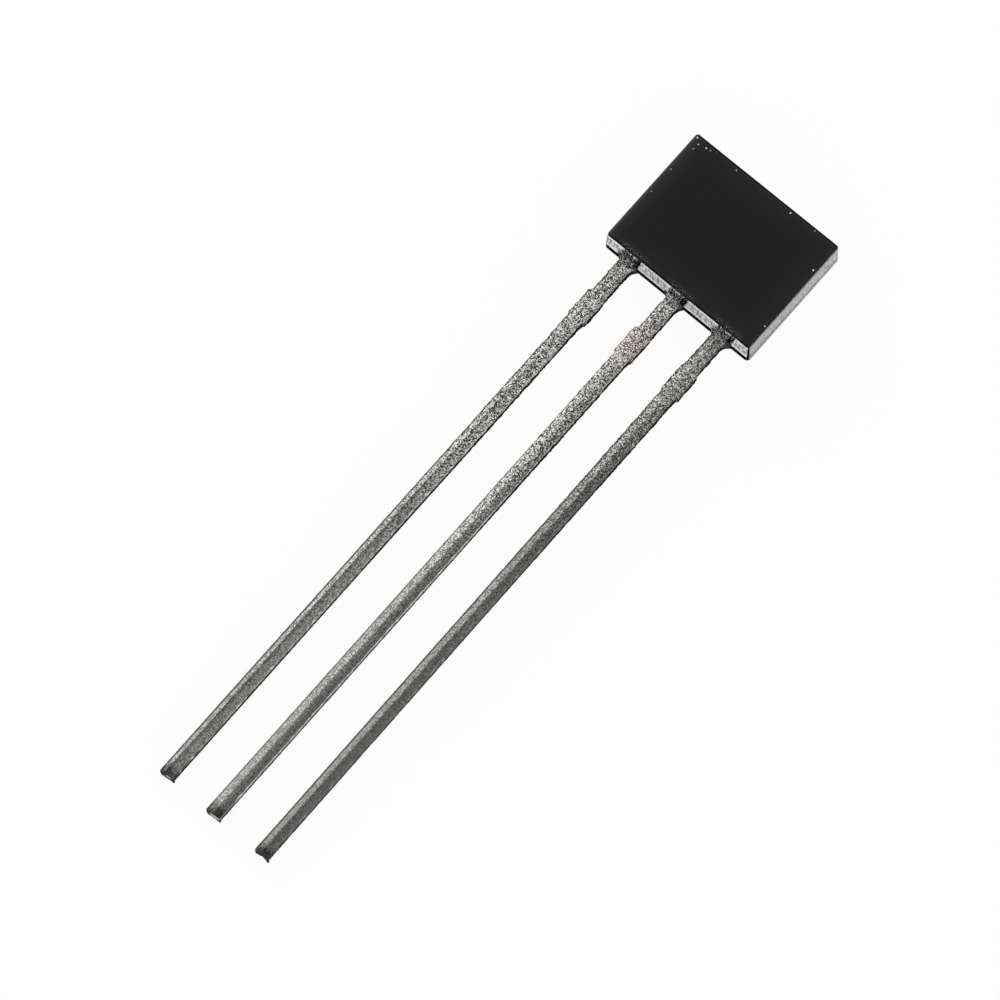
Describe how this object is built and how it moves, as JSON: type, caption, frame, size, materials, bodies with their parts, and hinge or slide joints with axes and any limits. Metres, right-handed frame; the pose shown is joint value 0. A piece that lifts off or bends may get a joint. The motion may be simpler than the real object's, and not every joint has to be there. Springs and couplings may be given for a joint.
{
  "type": "hall effect sensor",
  "caption": "Flat single in-line Hall effect sensor: black moulded body with chamfered front and long straight tinned leads for soldering into a board.",
  "frame": {"origin": "middle of the narrow front face, the face that looks at the magnet", "axes": "+Z out of the wide back face, along the sensing direction; -Y the way the leads leave the body; +X towards the supply lead"},
  "size_m": [0.004, 0.0175, 0.0015],
  "materials": {
    "moulding_compound": "matte",
    "tinned_lead": "satin",
    "silicon": "polished",
    "silver_adhesive": "satin",
    "gold_wire": "polished"
  },
  "bodies": {
    "root": {"moulded_body": "moulding_compound", "lead_supply": "tinned_lead", "lead_ground": "tinned_lead", "lead_output": "tinned_lead", "hall_chip": "silicon", "die_attach": "silver_adhesive", "bond_wire_supply": "gold_wire", "bond_wire_ground": "gold_wire", "bond_wire_output": "gold_wire"}
  },
  "joints": []
}
